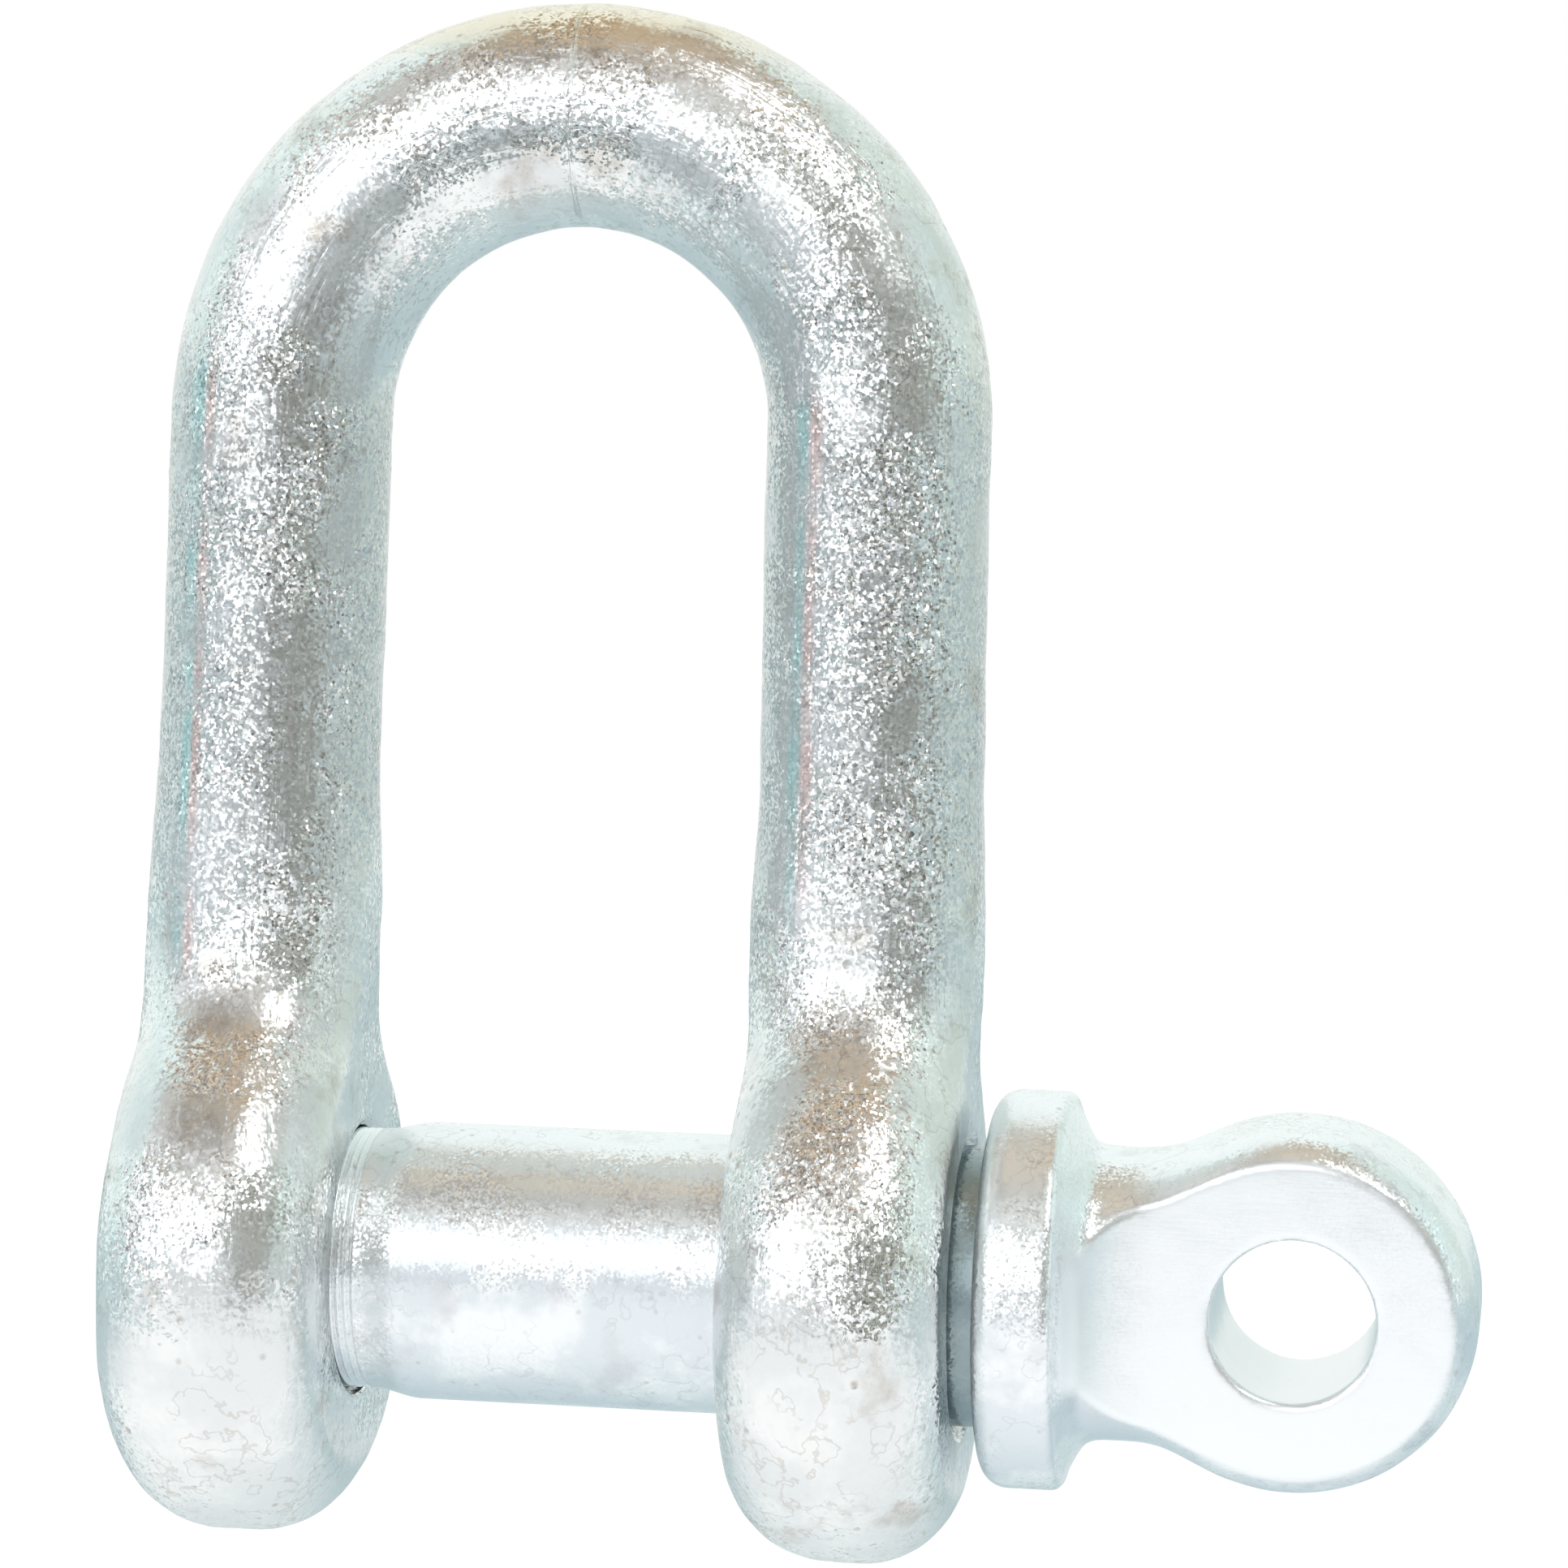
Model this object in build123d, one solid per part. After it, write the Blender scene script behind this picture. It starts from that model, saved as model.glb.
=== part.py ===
from build123d import *
from math import atan2, cos, pi, radians, sin, sqrt, tan
import os

# A straight (D) shackle in millimetres. X runs along the pin, towards its eye. Z points up to the
# crown. The origin is on the pin's axis, midway between the two ears.

# ---- driving dimensions: pin ----
THREAD_D = 16.0
THREAD_PITCH = 2.0
SHANK_STEP = 0.5  # the plain shank's radius is this much more than the thread's
SHOULDER_LENGTH = 2.9  # taper from the shank down to the thread's diameter
SHOULDER_SETBACK = 1.25  # from the shoulder's small end to the jaw's face, with the pin at rest
THREAD_SETBACK = 0.8  # from the jaw's face to the last thread, with the pin at rest
TIP_CHAMFER = 1.4
TIP_RECESS = 0.3  # the seated pin's tip lies this far inside the ear's outer face
REST_GAP = 1.35  # between the right ear and the collar: the pin is unscrewed this much
COLLAR_LEDGE = 3.1  # the collar's rim reaches this far past the clearance hole
COLLAR_WIDTH = 5.4
COLLAR_ROUNDING = 1.2
STEM_STEP = 0.35  # the stem between collar and eye is this much more in radius than the shank
STEM_FLARE = 1.2  # and this much more again where it meets the eye
STEM_LENGTH = 13.2  # from the collar's inner face to the centre of the eye, less the eye's radius
EYE_D = 21.9
EYE_THICKNESS = 12.1
EYE_ROUNDING = 2.1
EYE_TURN = 6.6  # degrees that the eye's flats are turned about the pin's axis
EYE_HOLE_D = 9.7
EYE_HOLE_EDGE = 0.6
RAMP_RADIUS = 5.0  # hollow between the stem and the eye's flats
RAMP_SETBACK = 1.0  # from the collar to the start of that hollow

# ---- driving dimensions: body ----
BAR_D = 14.0  # round bar of the legs and crown
INSIDE_LENGTH = 55.0  # from the pin's shank to the inside of the crown
CROWN_INSIDE_WIDTH = 23.2  # between the legs, where the crown starts
LEG_SPLAY = 0.5  # degrees that each leg opens towards its ear
EAR_D = 33.6
EAR_THICKNESS = 13.8
EAR_INSET = 0.3  # an ear's middle plane lies this far inside its leg's centre line
EAR_DROP = 0.4  # the ears' discs sit this far below the pin's axis
EAR_ROUNDING = 4.6
FLARE_RADIUS = 16.0  # hollow in the outline between a leg and its ear, seen along the pin
NECK_ROUNDING = 6.0

# ---- clearances ----
SHANK_FIT = 0.5  # radial gap between the shank and the clearance hole
THREAD_FIT = 0.1  # radial gap between the thread's crests and the tapped hole
COUNTERSINK_STEP = 0.3  # the tapped hole's mouth is this much more in radius than the shank
HOLE_EDGE = 0.6  # eased edge of the clearance hole
NECK_SINK = 0.3  # a neck's faces start this far inside the bar's and the ear's
NECK_ROOT = 4.0  # a neck runs this far on, inside its leg

# ---- sizes and places that follow from them ----
THREAD_DEPTH = 0.613 * THREAD_PITCH  # ISO metric external thread
SHANK_D = THREAD_D + 2 * SHANK_STEP
STEM_D = SHANK_D + 2 * STEM_STEP
CLEARANCE_HOLE_D = SHANK_D + 2 * SHANK_FIT
TAPPED_HOLE_D = THREAD_D + 2 * THREAD_FIT
COLLAR_D = CLEARANCE_HOLE_D + 2 * COLLAR_LEDGE
BAR_R = BAR_D / 2
EAR_R = EAR_D / 2
SPLAY = radians(LEG_SPLAY)
CROWN_R = (CROWN_INSIDE_WIDTH + BAR_D) / 2
CROWN_Z = SHANK_D / 2 + INSIDE_LENGTH + BAR_R - CROWN_R
TANGENT_X = CROWN_R * cos(SPLAY)  # where the crown's arc meets the straight legs
TANGENT_Z = CROWN_Z - CROWN_R * sin(SPLAY)
EAR_X = TANGENT_X + TANGENT_Z * tan(SPLAY) - EAR_INSET
EAR_FACE_IN = EAR_X - EAR_THICKNESS / 2
EAR_FACE_OUT = EAR_X + EAR_THICKNESS / 2
FLANK_Y = BAR_R - NECK_SINK
FLARE_Y = FLANK_Y + FLARE_RADIUS
NECK_Z = sqrt((EAR_R - NECK_SINK + FLARE_RADIUS) ** 2 - FLARE_Y**2) - EAR_DROP
LEG_FOOT_Z = EAR_R - EAR_DROP - NECK_SINK
COLLAR_X = EAR_FACE_OUT + REST_GAP
TIP_X = TIP_RECESS + REST_GAP - EAR_FACE_OUT
TAPER_END_X = SHOULDER_SETBACK - EAR_FACE_IN
THREAD_END_X = -EAR_FACE_IN - THREAD_SETBACK
STEM_X = COLLAR_X + COLLAR_WIDTH
EYE_X = STEM_X + STEM_LENGTH


def leg_x(z):
    """Distance of a leg's centre line from the middle plane, at height z."""
    return TANGENT_X + (TANGENT_Z - z) * tan(SPLAY)


def bow_path():
    """Centre line of the bar: up the left leg, round the crown and down the right leg."""
    foot_x = leg_x(LEG_FOOT_Z)
    left = Line((-foot_x, 0, LEG_FOOT_Z), (-TANGENT_X, 0, TANGENT_Z))
    crown = ThreePointArc((-TANGENT_X, 0, TANGENT_Z), (0, 0, CROWN_Z + CROWN_R), (TANGENT_X, 0, TANGENT_Z))
    right = Line((TANGENT_X, 0, TANGENT_Z), (foot_x, 0, LEG_FOOT_Z))
    return Wire([left, crown, right])


def make_bow():
    """The bar swept round its centre line."""
    path = bow_path()
    section = Plane(origin=path @ 0, z_dir=path % 0) * Circle(BAR_R)
    return sweep(section, path=path)


def neck_outline():
    """Outline of a neck seen along the pin: flanks that flare from the leg into the ear's disc."""
    to_ear = atan2(NECK_Z + EAR_DROP, FLARE_Y)
    ear_y = (EAR_R - NECK_SINK) * cos(to_ear)
    ear_z = (EAR_R - NECK_SINK) * sin(to_ear) - EAR_DROP
    middle = pi + to_ear / 2
    middle_y = FLARE_Y + FLARE_RADIUS * cos(middle)
    middle_z = NECK_Z + FLARE_RADIUS * sin(middle)
    top_z = NECK_Z + NECK_ROOT
    edges = [Line((-FLANK_Y, 0), (FLANK_Y, 0)), Line((-FLANK_Y, top_z), (FLANK_Y, top_z))]
    for way in (-1, 1):
        flank = way * FLANK_Y
        edges.append(Line((flank, 0), (way * ear_y, ear_z)))
        edges.append(ThreePointArc((way * ear_y, ear_z), (way * middle_y, middle_z), (flank, NECK_Z)))
        edges.append(Line((flank, NECK_Z), (flank, top_z)))
    return edges


def make_neck(side):
    """The forging between a round leg and its flat ear, with rounded flanks."""
    half_x = EAR_THICKNESS / 2 - NECK_SINK
    plane = Plane(origin=(side * EAR_X, 0, 0), x_dir=(0, 1, 0), z_dir=(1, 0, 0))
    plate = extrude(plane * make_face(neck_outline()), half_x, both=True)
    flanks = [
        edge
        for edge in plate.edges()
        if abs(edge.bounding_box().size.X) < NECK_SINK and edge.center().Z > EAR_R / 2 and abs(edge.center().Y) > 1
    ]
    return fillet(flanks, min(NECK_ROUNDING, half_x - NECK_SINK, FLANK_Y - NECK_SINK))


def make_ear(side):
    """A round ear with rounded rims, centred on the pin's axis but for its small drop."""
    plane = Plane(origin=(side * EAR_X, 0, -EAR_DROP), z_dir=(1, 0, 0))
    disc = plane * Cylinder(EAR_R, EAR_THICKNESS)
    return fillet(disc.edges().filter_by(GeomType.CIRCLE), EAR_ROUNDING)


def ear_hole(side, diameter, edge):
    """The tool that bores an ear and eases both mouths of the hole to a larger diameter."""
    reach = EAR_THICKNESS / 2
    half = (edge - diameter) / 2
    outline = [
        (-reach - 1, 0),
        (-reach - 1, edge / 2 + 1),
        (-reach, edge / 2),
        (-reach + half, diameter / 2),
        (reach - half, diameter / 2),
        (reach, edge / 2),
        (reach + 1, edge / 2 + 1),
        (reach + 1, 0),
    ]
    profile = make_face(Plane.XZ * Polyline(outline, close=True))
    return Pos(side * EAR_X, 0, 0) * revolve(profile, Axis.X)


def make_body():
    """The forged body: bow, necks and ears in one, with the clearance hole and the tapped hole."""
    body = make_bow()
    for side in (-1, 1):
        body += make_neck(side) + make_ear(side)
    body -= ear_hole(-1, TAPPED_HOLE_D, SHANK_D + 2 * COUNTERSINK_STEP)
    body -= ear_hole(1, CLEARANCE_HOLE_D, CLEARANCE_HOLE_D + 2 * HOLE_EDGE)
    return body


def thread_groove():
    """One helical groove, from beyond the tip to the last thread, along +X."""
    length = THREAD_END_X - TIP_X + THREAD_PITCH
    helix = Helix(pitch=THREAD_PITCH, height=length, radius=THREAD_D / 2)
    over = 0.15  # the groove starts this far outside the crests
    mouth = THREAD_PITCH * 0.94
    root = THREAD_PITCH / 8
    outline = [(over, -mouth / 2), (over, mouth / 2), (-THREAD_DEPTH, root / 2), (-THREAD_DEPTH, -root / 2)]
    plane = Plane(origin=helix @ 0, x_dir=(1, 0, 0), z_dir=helix % 0)
    groove = sweep(make_face(plane * Polyline(outline, close=True)), path=helix, is_frenet=True)
    return Pos(TIP_X - THREAD_PITCH, 0, 0) * Rot(0, 90, 0) * groove


def make_shank():
    """Threaded end, neck, shoulder, plain shank and collar, turned about the pin's axis."""
    outline = [
        (TIP_X, 0),
        (TIP_X, THREAD_D / 2 - TIP_CHAMFER),
        (TIP_X + TIP_CHAMFER, THREAD_D / 2),
        (TAPER_END_X, THREAD_D / 2),
        (TAPER_END_X + SHOULDER_LENGTH, SHANK_D / 2),
        (COLLAR_X, SHANK_D / 2),
        (COLLAR_X, COLLAR_D / 2),
        (STEM_X, COLLAR_D / 2),
        (STEM_X, 0),
    ]
    shank = revolve(make_face(Plane.XZ * Polyline(outline, close=True)), Axis.X)
    rims = shank.edges().filter_by(GeomType.CIRCLE).filter_by(lambda e: abs(e.radius - COLLAR_D / 2) < 1e-6)
    return fillet(rims, COLLAR_ROUNDING) - thread_groove()


def make_stem():
    """Round stem that widens into the eye, hollowed on two sides down to the eye's flats."""
    ramp_x = STEM_X + RAMP_SETBACK
    root_x = EYE_X - EYE_HOLE_D / 2
    stem_r = STEM_D / 2
    cone = [(STEM_X, 0), (STEM_X, stem_r), (ramp_x, stem_r), (root_x, stem_r + STEM_FLARE), (root_x, 0)]
    stem = revolve(make_face(Plane.XZ * Polyline(cone, close=True)), Axis.X)
    flat = EYE_THICKNESS / 2
    drop = stem_r - flat
    run = sqrt(RAMP_RADIUS**2 - (RAMP_RADIUS - drop) ** 2)
    high = EYE_D
    for side in (-1, 1):
        arc = ThreePointArc(
            (ramp_x, side * (flat + drop)),
            (ramp_x + run * 0.5, side * (flat + RAMP_RADIUS - sqrt(RAMP_RADIUS**2 - (run * 0.5) ** 2))),
            (ramp_x + run, side * flat),
        )
        rest = Polyline(
            (ramp_x + run, side * flat),
            (root_x + 1, side * flat),
            (root_x + 1, side * high),
            (ramp_x, side * high),
            (ramp_x, side * (flat + drop)),
        )
        stem -= extrude(make_face([arc, rest]), EYE_D, both=True)
    return stem


def make_eye():
    """The flattened eye with its rounded rim."""
    disc = Pos(EYE_X, 0, 0) * Rot(90, 0, 0) * Cylinder(EYE_D / 2, EYE_THICKNESS)
    return fillet(disc.edges().filter_by(GeomType.CIRCLE), EYE_ROUNDING)


def eye_hole():
    """The hole through the eye, with eased mouths."""
    reach = EYE_THICKNESS / 2
    r = EYE_HOLE_D / 2
    outline = [
        (0, -reach - 1),
        (r + EYE_HOLE_EDGE + 1, -reach - 1),
        (r + EYE_HOLE_EDGE, -reach),
        (r, -reach + EYE_HOLE_EDGE),
        (r, reach - EYE_HOLE_EDGE),
        (r + EYE_HOLE_EDGE, reach),
        (r + EYE_HOLE_EDGE + 1, reach + 1),
        (0, reach + 1),
    ]
    return Pos(EYE_X, 0, 0) * revolve(make_face(Polyline(outline, close=True)), Axis.Y)


def make_pin():
    """The screw pin, at rest: screwed in, but unscrewed by the small gap under its collar."""
    head = Rot(EYE_TURN, 0, 0) * (make_stem() + make_eye() - eye_hole())
    return make_shank() + head


def main():
    os.makedirs("parts", exist_ok=True)
    nodes = {"shackle_body": make_body(), "screw_pin": make_pin()}
    for name, solid in nodes.items():
        solid.label = name
        export_step(solid, f"parts/{name}.step")
        box = solid.bounding_box()
        print(name, len(solid.solids()), "solid", round(solid.volume), "mm3", box.min, box.max)


if __name__ == "__main__":
    main()
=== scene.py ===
"""Looks of a zinc-plated straight shackle with a screw pin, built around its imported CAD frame.

The forged body and the pin's head are signed distance fields that Geometry Nodes turn into meshes.
The pin's turned end and the thread's cutter are helical surfaces, also made by Geometry Nodes.
Sizes and node trees are in millimetres, and meshes in metres.
X runs along the pin towards its eye, Y away from the viewer, and Z up to the crown.
"""
import logging
import math
from dataclasses import dataclass
from enum import Enum

import bpy
from mathutils import Matrix, Vector


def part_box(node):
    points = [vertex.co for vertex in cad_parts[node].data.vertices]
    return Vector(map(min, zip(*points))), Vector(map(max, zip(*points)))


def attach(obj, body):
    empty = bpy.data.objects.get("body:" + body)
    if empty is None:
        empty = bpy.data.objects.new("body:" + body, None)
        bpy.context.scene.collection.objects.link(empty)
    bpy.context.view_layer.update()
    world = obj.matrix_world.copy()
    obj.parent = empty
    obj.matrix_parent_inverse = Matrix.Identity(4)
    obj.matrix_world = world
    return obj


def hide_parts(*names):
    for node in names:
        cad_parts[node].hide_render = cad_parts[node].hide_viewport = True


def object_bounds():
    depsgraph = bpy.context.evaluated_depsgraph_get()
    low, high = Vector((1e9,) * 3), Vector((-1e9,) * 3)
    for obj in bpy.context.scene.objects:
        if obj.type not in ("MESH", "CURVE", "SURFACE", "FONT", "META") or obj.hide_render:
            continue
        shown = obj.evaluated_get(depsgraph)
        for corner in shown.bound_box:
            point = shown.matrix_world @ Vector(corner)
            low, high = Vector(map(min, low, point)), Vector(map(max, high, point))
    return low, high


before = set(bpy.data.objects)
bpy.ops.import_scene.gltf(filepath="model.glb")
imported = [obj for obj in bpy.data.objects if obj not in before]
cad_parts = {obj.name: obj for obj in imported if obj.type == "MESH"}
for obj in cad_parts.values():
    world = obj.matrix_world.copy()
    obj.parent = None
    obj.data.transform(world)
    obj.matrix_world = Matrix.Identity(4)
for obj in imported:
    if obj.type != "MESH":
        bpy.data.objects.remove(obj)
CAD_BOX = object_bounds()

LOG = logging.getLogger("shackle")
MM = 0.001
BODY_NODE = "shackle_body"
PIN_NODE = "screw_pin"
FLOW = "flow"  # the point attribute that unrolls the bent bar
GROUND = "ground"  # the point attribute that is 1 on the eye's ground faces
SHARP_ANGLE = math.radians(40.0)  # edges sharper than this are shaded hard
OUTSIDE_DENSITY = -4.0  # a solid's density away from it
Colour = tuple[float, float, float]
Span = tuple[float, float]  # where something starts and where it is complete, or two limits
Pair = tuple[float, float]  # two numbers that a comment tells apart


class Slot(Enum):
    """The record's material slots."""

    FORGED = "forged_zinc"
    MACHINED = "machined_zinc"


class Axis(Enum):
    """Names of a vector's parts, as Separate XYZ gives them."""

    X = 0
    Y = 1
    Z = 2


class Value:
    """One socket of a node tree, with the arithmetic that shapes and finishes are written in."""

    def __init__(self, tree: "Tree", socket: bpy.types.NodeSocket) -> None:
        """Wraps one output socket.

        Args:
            tree: The tree that new Math nodes go to.
            socket: The output that this value stands for.
        """
        self.tree = tree
        self.socket = socket

    def math(self, operation: str, *others: "Value | float") -> "Value":
        """Adds one Math node that takes this value first.

        Args:
            operation: The Math node's operation.
            others: The node's further inputs.

        Returns:
            The node's result.
        """
        return self.tree.math(operation, self, *others)

    def __add__(self, other: "Value | float") -> "Value":
        """Returns self + other."""
        return self.math("ADD", other)

    def __radd__(self, other: float) -> "Value":
        """Returns other + self."""
        return self.math("ADD", other)

    def __sub__(self, other: "Value | float") -> "Value":
        """Returns self - other."""
        return self.math("SUBTRACT", other)

    def __rsub__(self, other: float) -> "Value":
        """Returns other - self."""
        return self.tree.math("SUBTRACT", other, self)

    def __mul__(self, other: "Value | float") -> "Value":
        """Returns self * other."""
        return self.math("MULTIPLY", other)

    def __rmul__(self, other: float) -> "Value":
        """Returns other * self."""
        return self.math("MULTIPLY", other)

    def __truediv__(self, other: "Value | float") -> "Value":
        """Returns self / other."""
        return self.math("DIVIDE", other)

    def __rtruediv__(self, other: float) -> "Value":
        """Returns other / self."""
        return self.tree.math("DIVIDE", other, self)

    def __neg__(self) -> "Value":
        """Returns -self."""
        return self.math("MULTIPLY", -1.0)

    def __abs__(self) -> "Value":
        """Returns the value without its sign."""
        return self.math("ABSOLUTE")

    def below(self, limit: "Value | float") -> "Value":
        """Returns 1 where the value is under the limit, else 0."""
        return self.math("LESS_THAN", limit)

    def at_least(self, other: "Value | float") -> "Value":
        """Returns the larger of the two."""
        return self.math("MAXIMUM", other)

    def at_most(self, other: "Value | float") -> "Value":
        """Returns the smaller of the two."""
        return self.math("MINIMUM", other)

    def beside(self, other: "Value | float") -> "Value":
        """Returns the length of the hypotenuse over self and other."""
        return (self * self + other * other).math("SQRT")

    def blend_to(self, other: "Value | float", share: "Value") -> "Value":
        """Returns self where share is 0 and other where it is 1."""
        return self + (other - self) * share

    def spread(self, at_zero: float, at_one: float) -> "Value":
        """Returns at_zero where this value is 0 and at_one where it is 1, and passes evenly between."""
        return self * (at_one - at_zero) + at_zero

    def ramp(self, start: float, end: float) -> "Value":
        """Returns a smooth step of this value.

        Args:
            start: Where the step is 0.
            end: Where the step is 1, above or below start.

        Returns:
            A value from 0 to 1.
        """
        low, high = (0.0, 1.0) if end > start else (1.0, 0.0)
        settings = {"interpolation_type": "SMOOTHSTEP"}
        sockets = {"Value": self, 1: min(start, end), 2: max(start, end), 3: low, 4: high}
        return self.tree.add("ShaderNodeMapRange", settings, sockets)


Input = Value | float | tuple | str | bool | int


class Tree:
    """Builds the nodes of one tree."""

    def __init__(self, nodes: bpy.types.NodeTree) -> None:
        """Takes an existing tree and clears it.

        Args:
            nodes: The tree to fill.
        """
        self.nodes = nodes
        nodes.nodes.clear()

    def add(
        self,
        kind: str,
        settings: dict[str, object] | None = None,
        sockets: dict[str | int, Input] | None = None,
        output: str | int = 0,
    ) -> Value:
        """Adds one node.

        Args:
            kind: The node's type.
            settings: Its properties, and the stops of a ramp as (place, colour) pairs.
            sockets: Values or links, by socket name or number.
            output: The output to return.

        Returns:
            The chosen output.
        """
        node = self.nodes.nodes.new(kind)
        for name, setting in (settings or {}).items():
            if name == "stops":
                self._set_stops(node.color_ramp, setting)
            else:
                setattr(node, name, setting)
        for name, value in (sockets or {}).items():
            if isinstance(value, Value):
                self.nodes.links.new(value.socket, node.inputs[name])
            else:
                node.inputs[name].default_value = value
        return Value(self, node.outputs[output]) if node.outputs else Value(self, node.inputs[0])

    @staticmethod
    def _set_stops(ramp: bpy.types.ColorRamp, stops: list[tuple[float, Colour]]) -> None:
        """Gives a colour ramp its stops.

        Args:
            ramp: The ramp to fill.
            stops: Places from 0 to 1 with their colours, lowest first.
        """
        while len(ramp.elements) < len(stops):
            ramp.elements.new(1.0)
        for element, (place, colour) in zip(ramp.elements, stops):
            element.position = place
            element.color = (*colour, 1.0)

    def math(self, operation: str, *values: Value | float) -> Value:
        """Adds one Math node.

        Args:
            operation: Its operation.
            values: Its inputs, in order.

        Returns:
            Its result.
        """
        return self.add("ShaderNodeMath", {"operation": operation}, dict(enumerate(values)))

    def noise(self, place: Value, size: float, detail: float = 2.0, seed: float = 0.0) -> Value:
        """Adds fractal noise.

        Args:
            place: Where it is read, in millimetres.
            size: Size of its largest lumps, in millimetres.
            detail: Number of finer octaves.
            seed: Which noise of the family.

        Returns:
            A value from 0 to 1, mostly near 0.5.
        """
        sockets = {"Vector": place, "W": seed, "Scale": 1 / size, "Detail": detail, "Roughness": 0.55}
        return self.add("ShaderNodeTexNoise", {"noise_dimensions": "4D"}, sockets)

    def parts(self, vector: Value) -> tuple[Value, Value, Value]:
        """Returns the three parts of a vector."""
        split = self.add("ShaderNodeSeparateXYZ", None, {0: vector}).socket.node
        return tuple(Value(self, split.outputs[axis.value]) for axis in Axis)

    def vector(self, x: Input, y: Input, z: Input) -> Value:
        """Returns the vector of three values."""
        return self.add("ShaderNodeCombineXYZ", None, {0: x, 1: y, 2: z})

    def cells(self, place: Value, size: float, softness: float) -> Value:
        """Adds soft cells.

        Args:
            place: Where they are read, in millimetres.
            size: Size of one cell, in millimetres.
            softness: How far the cells melt into each other, from 0 to 1.

        Returns:
            The distance from the middle of a cell, about 0 to 0.8.
        """
        sockets = {"Vector": place, "Scale": 1 / size, "Smoothness": softness}
        return self.add("ShaderNodeTexVoronoi", {"feature": "SMOOTH_F1"}, sockets)

    def vector_math(self, operation: str, *values: Input) -> Value:
        """Adds one Vector Math node.

        Args:
            operation: Its operation.
            values: Its inputs, in order.

        Returns:
            Its result.
        """
        return self.add("ShaderNodeVectorMath", {"operation": operation}, dict(enumerate(values)))

    def scaled(self, vector: Value, factor: Value | float) -> Value:
        """Returns the vector times a number."""
        return self.add("ShaderNodeVectorMath", {"operation": "SCALE"}, {0: vector, "Scale": factor})

    def mix(self, share: Input, first: Input, second: Input) -> Value:
        """Mixes two colours.

        Args:
            share: 0 for the first colour and 1 for the second.
            first: A colour or a link.
            second: A colour or a link.

        Returns:
            The mixed colour.
        """
        first, second = ((*end, 1.0) if isinstance(end, tuple) else end for end in (first, second))
        return self.add("ShaderNodeMix", {"data_type": "RGBA"}, {0: share, 6: first, 7: second}, 2)


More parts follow.
